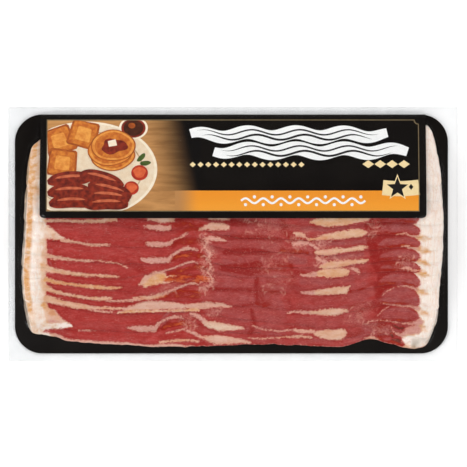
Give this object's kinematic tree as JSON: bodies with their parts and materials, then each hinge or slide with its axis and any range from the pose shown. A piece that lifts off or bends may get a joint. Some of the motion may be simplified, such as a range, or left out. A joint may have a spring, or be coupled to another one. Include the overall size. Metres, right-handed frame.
{
  "type": "bacon pack",
  "caption": "Flat sealed pack of shingled bacon slices on a black card whose top folds over as a front flap.",
  "frame": {"origin": "under the middle of the pack, on the surface that it lies on", "axes": "+X along the slices, +Y towards the folded top edge of the card, +Z out of the front"},
  "size_m": [0.28, 0.158, 0.0226],
  "materials": {
    "film": "gloss",
    "card": "satin",
    "bacon": "gloss"
  },
  "bodies": {
    "root": {"film_pouch": "film", "folded_card": "card", "slice_01": "bacon", "slice_02": "bacon", "slice_03": "bacon", "slice_04": "bacon", "slice_05": "bacon", "slice_06": "bacon", "slice_07": "bacon", "slice_08": "bacon", "slice_09": "bacon", "slice_10": "bacon", "slice_11": "bacon", "slice_12": "bacon"}
  },
  "joints": []
}
